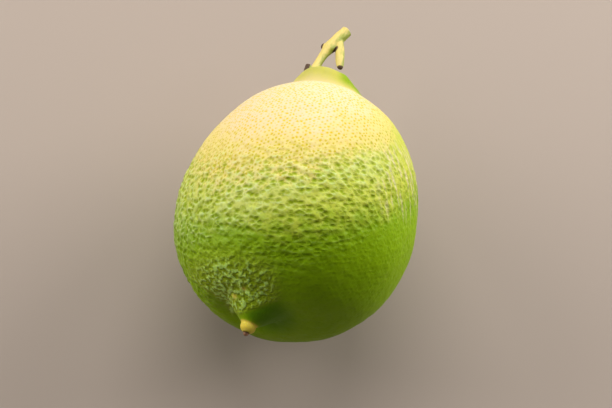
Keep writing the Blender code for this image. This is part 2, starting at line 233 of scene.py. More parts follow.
# The rind's material. Ripeness is in metres along the line that runs up and back, from the centre.
RIPE_BACKWARDS = 0.30
RIPE_PATCH_SCALE = 62.0
RIPE_RAGGEDNESS = 0.0016
TURNING_LEAN = -0.03
TURNING_RANGE = (0.0030, 0.0152)
# Painted light: the nipple's flank is made lighter, as if further turned, where it catches the light.
FLANK_PAINTED_LIGHT = 0.45
TURNING_OF_GREEN_NECK = 0.85
RIPE_LEAN = -0.155
RIPE_RANGE = (0.0155, 0.0230)
# The yellow pales towards the stem end, partly its own paler colour and partly a painted highlight where the
# light falls most.
PALE_SHEEN_RANGE = (0.0215, 0.0325)
GLANDS_RIPE_RANGE = (0.0190, 0.0320)
PIT_DELAY = 0.0045
PIT_CELLS = {"Scale": 760.0, "Size": 0.70, "Waver": 0.65}
PIT_STRETCH = (1.45, 1.0, 1.0)
# The painted highlight at each pit's edge: how far its cell is moved, and how sharply the pit cuts it off.
LIP_OFFSET = (0.0, 0.00045, 0.0)
LIP_SHARPNESS = 1.2
PEBBLE_SCALE = 820.0
PEBBLE_RISE = 1.6
GRAIN_RISE = 0.12
# Painted shade in the creases between the pebbles.
CREASE_PAINTED_SHADE = 0.8
NECK_DARKNESS = 0.55
NECK_DULLNESS = 0.70
FRECKLE_DARKNESS = 0.75
# Shares of painted highlights: the rim streaks, the sheen on the ridges, the edges of the pits and the
# pebbles' tops.
RIM_HIGHLIGHT_SHARE = 0.7
SHEEN_PAINT_SHARE = 0.32
LIP_HIGHLIGHT_SHARE = 0.9
PEBBLE_HIGHLIGHT_SHARE = 0.65
# The middle range of a noise's values, which a patchy edge is spread over.
PATCH_RANGE = (0.3, 0.7)
SEPAL_LIGHTENING = 1.5

# The viewing angle of the photograph in the fruit's own frame, and how the picture is framed.
VIEW_AZIMUTH = 14.0
VIEW_ELEVATION = 57.0
VIEW_DISTANCE = 0.455
LENS_MM = 100.0
SENSOR_MM = 36.0
PICTURE_PX = (612, 408)
FRUIT_CENTRE_PX = (295.3, 221.8)
FLOOR_REACH = 2.5
LAMP_DISTANCE = 0.60
SKY_COLOUR = (0.96, 1.0, 0.92, 1.0)


def colour(name, description, default):
    """A colour that a user can change."""
    return FloatVectorProperty(
        name=name, description=description, default=default, subtype="COLOR", min=0.0, max=1.0
    )


def length(name, description, default):
    """A length that a user can change."""
    return FloatProperty(
        name=name, description=description, default=default, subtype="DISTANCE", unit="LENGTH"
    )


def power(name, description, default):
    """A lamp's power that a user can change."""
    return FloatProperty(name=name, description=description, default=default, unit="POWER")


class LemonRindSettings(bpy.types.PropertyGroup):
    """Sizes of the rind's relief."""

    glands_per_edge: IntProperty(
        name="Glands per edge",
        description="Oil glands along an edge of the icosahedron they are spread on",
        default=33,
        min=6,
        max=33,
    )
    gland_depth: length("Gland depth", "How deep an oil gland is sunk in the rind", 0.00012)
    pit_depth: length("Pit depth", "How deep the pits between the green part's ridges are", 0.00027)
    swell_height: length("Swell height", "Height of the low swells in the green part", 0.00012)
    pebble_height: length("Pebble height", "Height of the pebbles on the nipple's flank", 0.00030)


class LemonColours(bpy.types.PropertyGroup):
    """Colours of the fruit and its stalk."""

    # Partly the skin's own paler yellow and partly a painted highlight, used where the light falls most:
    # round the stem end and on the rim streaks.
    pale_skin_and_sheen: colour("Palest skin", "Skin that the sun bleached, round the stem end", (0.75, 0.595, 0.36))
    ripe: colour("Ripe skin", "Skin of the yellow part", (0.76, 0.60, 0.19))
    ripe_gland: colour("Ripe gland", "Oil glands in the yellow part", (0.74, 0.50, 0.015))
    late_gland: colour(
        "Late gland",
        "Oil glands that are still olive in skin that has turned yellow",
        (0.48, 0.40, 0.005),
    )
    turning: colour("Turning skin", "Skin between yellow and green", (0.54, 0.56, 0.060))
    turning_gland: colour("Turning gland", "Oil glands between yellow and green", (0.25, 0.33, 0.004))
    unripe: colour("Unripe skin", "Skin of the green part", (0.245, 0.40, 0.001))
    unripe_gland: colour("Unripe gland", "Oil glands in the green part", (0.17, 0.28, 0.001))
    # Painted highlight: the pale tops of the ridges stand for the sheen where light falls on them.
    ridge_highlight: colour("Ridge", "Waxy tops of the ridges in the green part", (0.56, 0.68, 0.25))
    # Painted highlight: the pale tops of the pebbles stand for the light that catches them.
    pebble: colour("Pebble", "Tops of the pebbles on the nipple's flank", (0.60, 0.90, 0.22))
    # Painted shade: darker green on the nipple's far side, where its shadow falls.
    lee_shade: colour("Lee side", "Dark green skin on the far side of the nipple", (0.10, 0.24, 0.003))
    knob: colour("Knob", "Skin of the knob on the nipple", (0.80, 0.62, 0.08))
    bark: colour("Bark", "Bark of the stem", (0.72, 0.56, 0.15))
    # Painted shade on the stem's side away from the light; the neck's dull tint uses it too.
    green_bark: colour("Green bark", "Shaded side of the stem", (0.34, 0.38, 0.05))
    cut_wood: colour("Cut wood", "The stem's cut face", (0.62, 0.56, 0.34))
    scar: colour("Scar", "Dry scars and freckles", (0.085, 0.045, 0.022))
    dry_style: colour("Style", "Dry stump of the style", (0.45, 0.21, 0.11))
    sepal: colour("Sepal", "The calyx", (0.24, 0.29, 0.05))


class LemonStage(bpy.types.PropertyGroup):
    """The floor and the lights."""

    floor: colour("Floor", "Colour of the floor", (0.40, 0.32, 0.265))
    key_power: power("Key light", "Power of the broad light above the stem end", 3.1)
    right_power: power("Right light", "Power of the low light beside the right flank", 3.3)
    left_power: power("Left light", "Power of the light beside the left flank", 2.2)
    sky: FloatProperty(
        name="Sky",
        description="Strength of the even light from all round",
        default=0.13,
        min=0.0,
    )


def smooth_step(share):
    """0 below 0, 1 above 1, and 3t^2 - 2t^3 between."""
    share = np.clip(share, 0.0, 1.0)
    return share * share * (3.0 - 2.0 * share)


def rises(value, start, width):
    """0 below start, 1 a width above it, and smooth between."""
    return smooth_step((value - start) / width)


def falls(value, end, width):
    """0 above end, 1 a width below it, and smooth between."""
    return smooth_step((end - value) / width)


def lay_down(points):
    """Takes points from the fruit's own frame to where it lies."""
    return points @ LYING_TURN.T + CENTRE_PLACE


def wave_noise(points, wavelength, seed, waves=56):
    """Even noise with a spread of 1: the sum of cosine waves that run in every direction.

    Each wave has a random heading and phase and a length within a third of the one asked for.
    """
    random = np.random.default_rng(seed)
    heading = random.normal(size=(3, waves))
    heading *= random.uniform(0.75, 1.3, waves) / np.linalg.norm(heading, axis=0)
    phase = random.uniform(0.0, 2.0 * math.pi, waves)
    turns = points @ (heading * 2.0 * math.pi / wavelength) + phase
    return np.cos(turns).sum(axis=1) * math.sqrt(2.0 / waves)


def vertex_normals(points, faces):
    """Unit normals at the points, each the sum of its triangles' own normals weighted by area."""
    corners = points[faces]
    flat = np.cross(corners[:, 1] - corners[:, 0], corners[:, 2] - corners[:, 0])
    owners = faces.ravel()
    share = np.repeat(flat, 3, axis=0)
    normals = np.stack([np.bincount(owners, share[:, n], len(points)) for n in range(3)], axis=1)
    return normals / np.linalg.norm(normals, axis=1)[:, None]


def triangle_grid(frequency):
    """The points (i, j) of a triangle cut frequency times along each edge, and each one's number.

    The numbers form a square table, with zeros past the triangle's slanting edge.
    """
    steps = np.arange(frequency + 1)
    i, j = np.nonzero(np.add.outer(steps, steps) <= frequency)
    number = np.zeros((frequency + 2, frequency + 2), int)
    number[i, j] = np.arange(len(i))
    return i, j, number


def geodesic_sphere(frequency):
    """An icosahedron with each face split into frequency^2 triangles and pressed onto a unit sphere.

    A point with shares i, j, k of a face's corners goes where the corners, weighted by the sine of
    their share of the edge's arc, add up to. Returns the points, the triangles, where each face's
    own grid points are among the points, and the first grid point that stands for each point.
    """
    golden = (1.0 + math.sqrt(5.0)) / 2.0
    corners = []
    for a in (-1.0, 1.0):
        for b in (-golden, golden):
            corners += [(0.0, a, b), (a, b, 0.0), (b, 0.0, a)]
    corners = np.array(corners) / math.hypot(1.0, golden)
    edge_arc = math.acos(1.0 / math.sqrt(5.0))
    near = corners @ corners.T > math.cos(edge_arc) - 0.01
    i, j, number = triangle_grid(frequency)
    up = i + j < frequency
    down = i + j < frequency - 1
    ups = np.stack([number[i, j], number[i + 1, j], number[i, j + 1]], axis=1)[up]
    downs = np.stack([number[i + 1, j], number[i + 1, j + 1], number[i, j + 1]], axis=1)[down]
    local = np.concatenate([ups, downs])
    weights = np.sin(np.stack([i, j, frequency - i - j], axis=1) / frequency * edge_arc)
    points = []
    for a, b, c in combinations(range(12), 3):
        if near[a, b] and near[b, c] and near[a, c]:
            outwards = np.dot(np.cross(corners[a], corners[b]), corners[c]) > 0
            points.append(weights @ corners[[a, b, c] if outwards else [a, c, b]])
    faces = np.concatenate([local + len(i) * face for face in range(len(points))])
    points = np.concatenate(points)
    points /= np.linalg.norm(points, axis=1)[:, None]
    _, first, index = np.unique(np.round(points, 6), axis=0, return_index=True, return_inverse=True)
    index = index.reshape(-1)
    return points[first], index[faces], index.reshape(20, -1), first


def cell_corners(fine, coarse):
    """Where a face's fine grid points lie in its coarse grid: their cells' corners and shares of them."""
    step = fine // coarse
    i, j, _ = triangle_grid(fine)
    _, _, number = triangle_grid(coarse)
    cell_i, cell_j = i // step, j // step
    part_i, part_j = i % step / step, j % step / step
    up = part_i + part_j < 1.01
    corner = np.where(up, number[cell_i, cell_j], number[cell_i + 1, cell_j + 1])
    shares = np.stack(
        [
            np.where(up, 1.0 - part_i - part_j, part_i + part_j - 1.0),
            np.where(up, part_i, 1.0 - part_j),
            np.where(up, part_j, 1.0 - part_i),
        ]
    )
    return np.stack([corner, number[cell_i + 1, cell_j], number[cell_i, cell_j + 1]]), shares


def gland_sphere(glands, seed):
    """A geodesic sphere with an oil gland at every third point both ways, moved to be irregular.

    Each gland is moved by up to about a third of the spacing along each axis, and the points between
    glands move by the mean of their glands' moves, weighted by nearness. A point's share w of a gland
    counts towards the gland's hollow as w^3: all at its middle, 0.3 on the ring of points around it and
    next to nothing beyond. Returns directions, triangles, and how far each point is into a hollow.
    """
    centres, _, index, _ = geodesic_sphere(glands)
    directions, faces, _, first = geodesic_sphere(3 * glands)
    random = np.random.default_rng(seed)
    spacing = math.acos(1.0 / math.sqrt(5.0)) / glands
    moves = random.uniform(-1.0, 1.0, centres.shape) * GLAND_STRAY * spacing
    depths = random.uniform(*GLAND_DEPTHS, len(centres))
    corners, shares = cell_corners(3 * glands, glands)
    owners = index[:, corners]
    moved = np.sum(shares[None, :, :, None] * moves[owners], axis=1).reshape(-1, 3)[first]
    hollow = np.sum(shares[None] ** 3 * depths[owners], axis=1).reshape(-1)[first]
    directions = directions + moved
    return directions / np.linalg.norm(directions, axis=1)[:, None], faces, hollow


def cap_height(across, reach, fullness):
    """How far the plain body reaches along its axis at this distance from it: r = W sin^f s, y = L cos s."""
    sine = np.clip(across / HALF_WIDTH, 0.0, 1.0) ** (1.0 / fullness)
    return reach * np.sqrt(1.0 - sine * sine)


def neck_foot(bearing):
    """How far a bearing faces the front, and the radius of the neck's foot there."""
    front = np.clip(np.sin(bearing), 0.0, 1.0) ** 2
    return front, NECK_BASE_RADIUS + NECK_BASE_OFFSET * np.cos(bearing) - NECK_FRONT_TUCK * front


def neck_height(cap, distance, bearing):
    """The stem end's reach: the body's cap, lifted by the neck, with ribs down it and a furrow in front."""
    front, foot = neck_foot(bearing)
    raised = falls(distance, foot, foot - NECK_TOP_RADIUS)
    started = rises(distance, NECK_TOP_RADIUS, NECK_RIB_START)
    ended = smooth_step(NECK_RIB_END - distance / foot)
    ribs = NECK_RIB_HEIGHT * np.cos(NECK_RIBS * bearing + NECK_RIB_SWAY * np.sin(2.0 * bearing))
    collar = COLLAR_DEPTH * front * np.exp(-(((distance - foot) / COLLAR_WIDTH) ** 2))
    return cap + (NECK_TOP - cap) * raised + ribs * started * ended - collar


def knob_height(distance):
    """A low dome: full height in the middle, none past the knob's radius."""
    return KNOB_HEIGHT * np.sqrt(np.clip(1.0 - (distance / KNOB_RADIUS) ** 2, 0.0, 1.0))


def nipple_height(cap, distance, bearing):
    """The blossom end's reach: the body's cap, lifted by the nipple's cone and sunk by its furrow.

    The cone falls away from its rounded tip, steep on the furrow's side. The furrow is deepest beside
    the cone and fades outwards. The two meet in a rounded maximum, k log(e^(a/k) + e^(b/k)).
    """
    side = 0.5 + 0.5 * np.cos(bearing - math.radians(FURROW_DEEPEST_SIDE))
    slope = NIPPLE_GENTLE_SLOPE + (NIPPLE_STEEP_SLOPE - NIPPLE_GENTLE_SLOPE) * side
    cone = NIPPLE_LIFT - slope * (np.hypot(distance, NIPPLE_TIP_ROUNDING) - NIPPLE_TIP_ROUNDING)
    width = FURROW_OUTER_RADIUS - FURROW_INNER_RADIUS
    furrow = -FURROW_DEPTH * side * falls(distance, FURROW_OUTER_RADIUS, width)
    k = FURROW_ROUNDING
    return cap + k * np.logaddexp(cone / k, furrow / k) + knob_height(distance)


def knob_reach():
    """How far the knob's top stands from the fruit's centre."""
    cap = cap_height(math.hypot(*NIPPLE_PLACE), BLOSSOM_REACH, BLOSSOM_FULLNESS)
    return float(nipple_height(cap, 0.0, 0.0))


def crowd(distance, extra, radius):
    """How many times denser than elsewhere the points stand at this distance: 1 + (n - 1) e^-(d/r)^2."""
    return 1.0 + (extra - 1.0) * np.exp(-((distance / radius) ** 2))


def even_spread(directions):
    """Maps unit directions to (distance from the axis, on the stem half, crowding), in even areas of rind.

    Each half's meridian is cut into short steps, its area is summed from the pole with the crowds
    weighted in, and a direction takes the distance at which that sum is its own share of the sphere.
    """
    angle = np.linspace(0.0, math.pi / 2.0, MERIDIAN_STEPS)
    halves = []
    for height, reach, fullness, dense in (
        (neck_height, STEM_REACH, STEM_FULLNESS, NECK_CROWD),
        (nipple_height, BLOSSOM_REACH, BLOSSOM_FULLNESS, NIPPLE_CROWD),
    ):
        across = HALF_WIDTH * np.sin(angle) ** fullness
        along = height(reach * np.cos(angle), across, np.zeros_like(across))
        area = np.hypot(np.diff(across), np.diff(along)) * (across[1:] + across[:-1])
        area = area * crowd(across[1:], *dense)
        halves.append((across, np.concatenate([[0.0], np.cumsum(area)])))
    stem_area, blossom_area = halves[0][1][-1], halves[1][1][-1]
    share = (1.0 - directions[:, 1]) / 2.0 * (stem_area + blossom_area)
    on_stem_half = share <= stem_area
    from_blossom = stem_area + blossom_area - share
    across = np.where(
        on_stem_half,
        np.interp(share, halves[0][1], halves[0][0]),
        np.interp(from_blossom, halves[1][1], halves[1][0]),
    )
    crowding = np.where(on_stem_half, crowd(across, *NECK_CROWD), crowd(across, *NIPPLE_CROWD))
    return across, on_stem_half, crowding


def offset_from(place, x, z):
    """(distance, bearing) of points from a place on the cap."""
    return np.hypot(x - place[0], z - place[1]), np.arctan2(z - place[1], x - place[0])


def fruit_surface(directions):
    """Points of the smooth fruit in its own frame, centred on its girth, and the crowding there.

    A direction gives a place across the axis, the two poles are slid under the neck and the nipple,
    and the reach along the axis follows from the cap's formula and what stands on it.
    """
    across, on_stem_half, crowding = even_spread(directions)
    turn = np.arctan2(directions[:, 2], directions[:, 0])
    near_pole = (1.0 - (across / HALF_WIDTH) ** 2) ** 2
    x = across * np.cos(turn) + near_pole * np.where(on_stem_half, NECK_PLACE[0], NIPPLE_PLACE[0])
    z = across * np.sin(turn) + near_pole * np.where(on_stem_half, NECK_PLACE[1], NIPPLE_PLACE[1])
    middle = np.hypot(x, z)
    stem_side = neck_height(cap_height(middle, STEM_REACH, STEM_FULLNESS), *offset_from(NECK_PLACE, x, z))
    blossom_cap = cap_height(middle, BLOSSOM_REACH, BLOSSOM_FULLNESS)
    blossom_side = nipple_height(blossom_cap, *offset_from(NIPPLE_PLACE, x, z))
    y = np.where(on_stem_half, stem_side, -blossom_side)
    # The girth's lobes fade out towards both ends.
    fade = smooth_step(LOBE_FADE_END - np.abs(y) / np.where(on_stem_half, STEM_REACH, BLOSSOM_REACH))
    girth = 1.0 + fade * sum(
        share * np.cos(count * turn - math.radians(crest)) for count, share, crest in GIRTH_LOBES
    )
    return np.stack([x * girth, y, z * girth], axis=1), crowding


def view_axes():
    """The photograph's right, up and back directions, where the fruit lies."""
    azimuth, elevation = math.radians(VIEW_AZIMUTH), math.radians(VIEW_ELEVATION)
    right = np.array([math.cos(azimuth), math.sin(azimuth), 0.0])
    level = np.array([math.sin(azimuth), -math.cos(azimuth), 0.0])
    back = level * math.cos(elevation) + np.array([0.0, 0.0, math.sin(elevation)])
    return LYING_TURN @ right, LYING_TURN @ np.cross(back, right), LYING_TURN @ back


def stand_on(place, reach, outwards, local):
    """Takes local points, +Z out of the rind, to where they stand at this place and reach of the fruit."""
    foot = lay_down(np.array([[place[0], reach, place[1]]]))[0]
    out = LYING_TURN @ np.array([0.0, outwards, 0.0])
    across = LYING_TURN @ np.array([1.0, 0.0, 0.0])
    return foot + local @ np.stack([across, np.cross(out, across), out])


def make_piece(name, points, faces, material, **attributes):
    """A smooth-shaded mesh object at the origin, with one value a point for each attribute."""
    mesh = bpy.data.meshes.new(name)
    mesh.vertices.add(len(points))
    mesh.vertices.foreach_set("co", np.ascontiguousarray(points, np.float32).ravel())
    mesh.loops.add(faces.size)
    mesh.loops.foreach_set("vertex_index", np.ascontiguousarray(faces, np.int32).ravel())
    mesh.polygons.add(len(faces))
    mesh.polygons.foreach_set("loop_start", np.arange(0, faces.size, faces.shape[1], dtype=np.int32))
    mesh.update(calc_edges=True)
    mesh.validate()
    mesh.shade_smooth()
    for key, values in attributes.items():
        layer = mesh.attributes.new(key, "FLOAT", "POINT")
        layer.data.foreach_set("value", np.ascontiguousarray(values, np.float32))
    mesh.materials.append(material)
    piece = bpy.data.objects.new(name, mesh)
    bpy.context.scene.collection.objects.link(piece)
    return piece


def feed(tree, node, inputs):
    """Gives each of these sockets of a node a value, or an output to read from."""
    for key, value in inputs.items():
        if isinstance(value, bpy.types.NodeSocket):
            tree.links.new(value, node.inputs[key])
        else:
            node.inputs[key].default_value = value


def put(tree, kind, inputs, **settings):
    """A new node with these settings and inputs."""
    made = tree.nodes.new(kind)
    for key, value in settings.items():
        setattr(made, key, value)
    feed(tree, made, inputs)
    return made


def math_node(tree, operation, a, b):
    """The output of a Math node on two values."""
    return put(tree, "ShaderNodeMath", {0: a, 1: b}, operation=operation).outputs[0]


def times(tree, a, b):
    """The product of two values."""
    return math_node(tree, "MULTIPLY", a, b)


def plus(tree, a, b):
    """The sum of two values."""
    return math_node(tree, "ADD", a, b)


def minus(tree, a, b):
    """The first value less the second."""
    return math_node(tree, "SUBTRACT", a, b)


def highest(tree, a, b):
    """The greater of two values."""
    return math_node(tree, "MAXIMUM", a, b)


def blend_colour(tree, share, a, b):
    """The output of a colour Mix node: a at 0, b at 1."""
    a, b = (end if isinstance(end, bpy.types.NodeSocket) else (*end, 1.0) for end in (a, b))
    return put(tree, "ShaderNodeMix", {0: share, 6: a, 7: b}, data_type="RGBA").outputs[2]


def paint(tree, ground, *layers):
    """A colour with layers painted over it, each given as (how much of it shows, its colour)."""
    for share, layer in layers:
        ground = blend_colour(tree, share, ground, layer)
    return ground


def ramp(tree, value, low, high, to_low=0.0, to_high=1.0):
    """The output of a smooth Map Range from low..high to to_low..to_high."""
    inputs = {"Value": value, "From Min": low, "From Max": high, "To Min": to_low, "To Max": to_high}
    return put(tree, "ShaderNodeMapRange", inputs, interpolation_type="SMOOTHSTEP").outputs["Result"]


def attribute(tree, name):
    """The value of a mesh attribute."""
    return put(tree, "ShaderNodeAttribute", {}, attribute_name=name).outputs["Fac"]


def noise(tree, vector, scale, detail):
    """The value of a Noise texture."""
    inputs = {"Vector": vector, "Scale": scale, "Detail": detail}
    return put(tree, "ShaderNodeTexNoise", inputs).outputs["Fac"]


def patchy(tree, value, reach):
    """Noise spread from -reach to reach, to add to an edge that should be patchy."""
    return ramp(tree, value, *PATCH_RANGE, -reach, reach)


def new_group(name, values, outputs):
    """An empty shader node group with a Vector and these values to put in, and these values put out."""
    group = bpy.data.node_groups.new(name, "ShaderNodeTree")
    group.interface.new_socket("Vector", in_out="INPUT", socket_type="NodeSocketVector")
    for key, value in values.items():
        socket = group.interface.new_socket(key, in_out="INPUT", socket_type="NodeSocketFloat")
        socket.default_value = value
    for key in outputs:
        group.interface.new_socket(key, in_out="OUTPUT", socket_type="NodeSocketFloat")
    return group, group.nodes.new("NodeGroupInput").outputs, group.nodes.new("NodeGroupOutput").inputs


def skin_grain_group(name):
    """Fine plant skin: Mottle is broad patches, Height the finest relief, both about 0.5 in the middle."""
    tree, given, out = new_group(name, {"Patch scale": 200.0, "Grain scale": 2500.0}, ["Mottle", "Height"])
    tree.links.new(noise(tree, given["Vector"], given["Patch scale"], 3.0), out["Mottle"])
    tree.links.new(noise(tree, given["Vector"], given["Grain scale"], 2.0), out["Height"])
    return tree


def cell_group(name):
    """Soft round cells with wavering edges: Mask is 1 in a cell's middle and falls to 0 at its edge."""
    tree, given, out = new_group(name, {"Scale": 700.0, "Size": 0.8, "Waver": 0.5}, ["Mask"])
    cells = {"Vector": given["Vector"], "Scale": given["Scale"], "Randomness": 0.85}
    distance = put(tree, "ShaderNodeTexVoronoi", cells).outputs["Distance"]
    finer = noise(tree, given["Vector"], times(tree, given["Scale"], 1.7), 2.0)
    waver = times(tree, minus(tree, finer, 0.5), given["Waver"])
    away = math_node(tree, "DIVIDE", plus(tree, distance, waver), given["Size"])
    tree.links.new(ramp(tree, away, 1.0, 0.0), out["Mask"])
    return tree


def pebble_group(name):
    """Close-set soft pebbles: Mask is 0 in the creases between them and rises to 1 on their tops."""
    tree, given, out = new_group(name, {"Scale": 800.0}, ["Mask"])
    lumps = noise(tree, given["Vector"], given["Scale"], 1.0)
    tree.links.new(ramp(tree, lumps, 0.32, 0.68), out["Mask"])
    return tree


def freckle_group(name):
    """Scattered round freckles: a Voronoi cell has one if its random tint is below Share."""
    tree, given, out = new_group(name, {"Scale": 200.0, "Size": 0.12, "Share": 0.2}, ["Mask"])
    cells = put(tree, "ShaderNodeTexVoronoi", {"Vector": given["Vector"], "Scale": given["Scale"]})
    tint = put(tree, "ShaderNodeSeparateColor", {"Color": cells.outputs["Color"]})
    chosen = math_node(tree, "LESS_THAN", tint.outputs["Red"], given["Share"])
    size = times(tree, given["Size"], plus(tree, tint.outputs["Green"], 0.4))
    inside = ramp(tree, math_node(tree, "DIVIDE", cells.outputs["Distance"], size), 1.0, 0.5)
    tree.links.new(times(tree, inside, chosen), out["Mask"])
    return tree


GROUPS = {
    "Skin grain": skin_grain_group,
    "Cells": cell_group,
    "Pebbles": pebble_group,
    "Freckles": freckle_group,
}


def use_group(tree, name, inputs):
    """The outputs of a node that holds this group, which is built when first asked for."""
    group = bpy.data.node_groups.get(name) or GROUPS[name](name)
    return put(tree, "ShaderNodeGroup", inputs, node_tree=group).outputs


def skin_grain(tree, place, patch_scale, grain_scale):
    """The Mottle and the Height of plant skin at these scales."""
    scales = {"Patch scale": patch_scale, "Grain scale": grain_scale}
    skin = use_group(tree, "Skin grain", {"Vector": place, **scales})
    return skin["Mottle"], skin["Height"]


def new_material(name):
    """A new material, its node tree, its Principled shader and the Object coordinates."""
    made = bpy.data.materials.new(name)
    made.use_nodes = True
    tree = made.node_tree
    place = put(tree, "ShaderNodeTexCoord", {}).outputs["Object"]
    return made, tree, tree.nodes["Principled BSDF"], place


def relief(tree, height, depth):
    """The normal from a Bump node that makes the height this deep."""
    return put(tree, "ShaderNodeBump", {"Height": height, "Distance": depth}).outputs["Normal"]


def ripeness(tree, place, mottle, lean):
    """How far the skin is towards its ripe end, in metres from the fruit's centre.

    It is measured along a line that runs up and back, and leans to the right by the share given.
    Patches and blotches of noise make its edge ragged.
    """
    right, up, back = view_axes()
    sunward = up + lean * right + RIPE_BACKWARDS * back
    sunward /= np.linalg.norm(sunward)
    dot = {0: place, 1: tuple(sunward)}
    along = put(tree, "ShaderNodeVectorMath", dot, operation="DOT_PRODUCT").outputs["Value"]
    height = minus(tree, along, float(CENTRE_PLACE @ sunward))
    for patches in (noise(tree, place, RIPE_PATCH_SCALE, 2.0), mottle):
        height = plus(tree, height, patchy(tree, patches, RIPE_RAGGEDNESS))
    return height


def pits_and_lip_highlights(tree, place):
    """The pits' cells, stretched from side to side, and the painted highlight on the upper edge of each."""
    turn = Matrix(np.stack(view_axes()).T).to_euler()
    stretched = {"Vector": place, "Rotation": turn, "Scale": PIT_STRETCH}
    level = put(tree, "ShaderNodeMapping", stretched, vector_type="TEXTURE").outputs["Vector"]
    higher = put(tree, "ShaderNodeVectorMath", {0: level, 1: LIP_OFFSET}, operation="ADD").outputs["Vector"]
    pit = use_group(tree, "Cells", {"Vector": level, **PIT_CELLS})["Mask"]
    above = use_group(tree, "Cells", {"Vector": higher, **PIT_CELLS})["Mask"]
    return pit, highest(tree, minus(tree, above, times(tree, pit, LIP_SHARPNESS)), 0.0)


def rind_material():
    """The waxy rind: green below, yellow above and paler still at the stem end, partly in its own colour and
    partly as a painted highlight, with a yellow knob.

    Glands darken it, and painted shade darkens the pits, the creases between the pebbles and the nipple's
    far side. Painted highlights pale the ridges, the edges of the pits, the pebbles' tops and streaks on the
    right rim, and freckles are scattered over it. The neck is dull except on its sunny rib.
    """
    hues = bpy.context.scene.lemon_colours
    material, tree, shader, place = new_material("lemon_rind")
    mottle, grain = skin_grain(tree, place, 420.0, 3200.0)
    pitting, sheen_mask, flank, rim, neck, green_neck = (
        attribute(tree, name) for name in ("pitting", "waxy_sheen", "flank", "rim", "neck", "green_neck")
    )

    # The pits of the green part with a painted highlight on each one's edge, and the pebbles of the nipple's
    # flank with painted shade in their creases.
    cell, lip_highlight = pits_and_lip_highlights(tree, place)
    pit = times(tree, cell, pitting)
    lip_highlight = times(tree, times(tree, lip_highlight, pitting), ramp(tree, sheen_mask, 0.0, 0.7, 0.20, 1.0))
    pebble = use_group(tree, "Pebbles", {"Vector": place, "Scale": PEBBLE_SCALE})["Mask"]
    knoll = times(tree, pebble, flank)
    # Painted shade: the creases between the pebbles are darkened.
    crease = times(tree, minus(tree, flank, knoll), CREASE_PAINTED_SHADE)

    # How far the skin has turned, and where it is ripe.
    turned = ramp(tree, ripeness(tree, place, mottle, TURNING_LEAN), *TURNING_RANGE)
    # Painted light: the nipple's flank is lightened as if further turned.
    turned = plus(tree, turned, times(tree, flank, FLANK_PAINTED_LIGHT))
    turned = minus(tree, turned, times(tree, green_neck, TURNING_OF_GREEN_NECK))
    ragged = ripeness(tree, place, mottle, RIPE_LEAN)
    ragged = minus(tree, ragged, times(tree, pit, PIT_DELAY))
    ripe = times(tree, ramp(tree, ragged, *RIPE_RANGE), minus(tree, 1.0, green_neck))

    # The skin between the glands.
    # Towards the stem end the yellow pales, partly its own colour and partly a painted highlight.
    yellow = blend_colour(tree, ramp(tree, ragged, *PALE_SHEEN_RANGE), hues.ripe, hues.pale_skin_and_sheen)
    # Painted sheen: the ridges are paled where light falls on them, and the edges of the pits carry a
    # painted highlight.
    waxy_sheen = times(tree, sheen_mask, ramp(tree, cell, 0.0, 0.8, 1.0, 0.2))
    pale = plus(tree, times(tree, waxy_sheen, SHEEN_PAINT_SHARE), times(tree, lip_highlight, LIP_HIGHLIGHT_SHARE))
    between = paint(
        tree,
        hues.unripe,
        (turned, hues.turning),
        (ripe, yellow),
        # Painted highlight streaks on the right rim.
        (times(tree, rim, RIM_HIGHLIGHT_SHARE), hues.pale_skin_and_sheen),
        (pale, hues.ridge_highlight),
        # Painted highlights on the pebbles' tops.
        (ramp(tree, knoll, 0.30, 0.95, 0.0, PEBBLE_HIGHLIGHT_SHARE), hues.pebble),
        # Painted shade on the nipple's far side.
        (attribute(tree, "lee_shade"), hues.lee_shade),
    )

    # The glands, and what is as dark as they are: the painted shade of the pits and creases, and the neck.
    late = times(tree, highest(tree, ramp(tree, ragged, *GLANDS_RIPE_RANGE), neck), ripe)
    glands = paint(
        tree,
        hues.unripe_gland,
        (turned, hues.turning_gland),
        (ripe, hues.late_gland),
        (late, hues.ripe_gland),
    )
    dark = ramp(tree, attribute(tree, "gland"), 0.15, 0.75)
    dark = times(tree, dark, ramp(tree, ripe, 0.0, 1.0, 0.25, 1.0))
    # Painted shade: the pits and the creases between the pebbles darken like the glands.
    for other in (pit, crease, times(tree, neck, NECK_DARKNESS)):
        dark = highest(tree, dark, other)

    # Over both: the dull neck, freckles, the yellow knob and specks, and dry skin round the style.
    dull = times(tree, minus(tree, neck, times(tree, green_neck, 0.8)), NECK_DULLNESS)
    spots = {"Vector": place, "Scale": 95.0, "Size": 0.055, "Share": 0.10}
    tint = paint(
        tree,
        between,
        (dark, glands),
        (dull, hues.green_bark),
        (times(tree, use_group(tree, "Freckles", spots)["Mask"], FRECKLE_DARKNESS), hues.scar),
        (highest(tree, attribute(tree, "knob"), attribute(tree, "speck")), hues.knob),
        (attribute(tree, "dry"), hues.scar),
    )

    height = plus(tree, minus(tree, times(tree, grain, GRAIN_RISE), pit), times(tree, knoll, PEBBLE_RISE))
    surface = {
        "Base Color": tint,
        "Roughness": ramp(tree, mottle, 0.2, 0.8, 0.40, 0.55),
        "Coat Weight": plus(tree, times(tree, highest(tree, waxy_sheen, rim), 0.5), times(tree, knoll, 0.15)),
        "Coat Roughness": 0.30,
        "Normal": relief(tree, height, bpy.context.scene.lemon_rind.pit_depth),
        "IOR": 1.40,
        "Specular IOR Level": 0.10,
        "Subsurface Weight": 0.5,
        "Subsurface Radius": (1.0, 0.9, 0.15),
        "Subsurface Scale": 0.0012,
    }
    feed(tree, shader, surface)
    return material


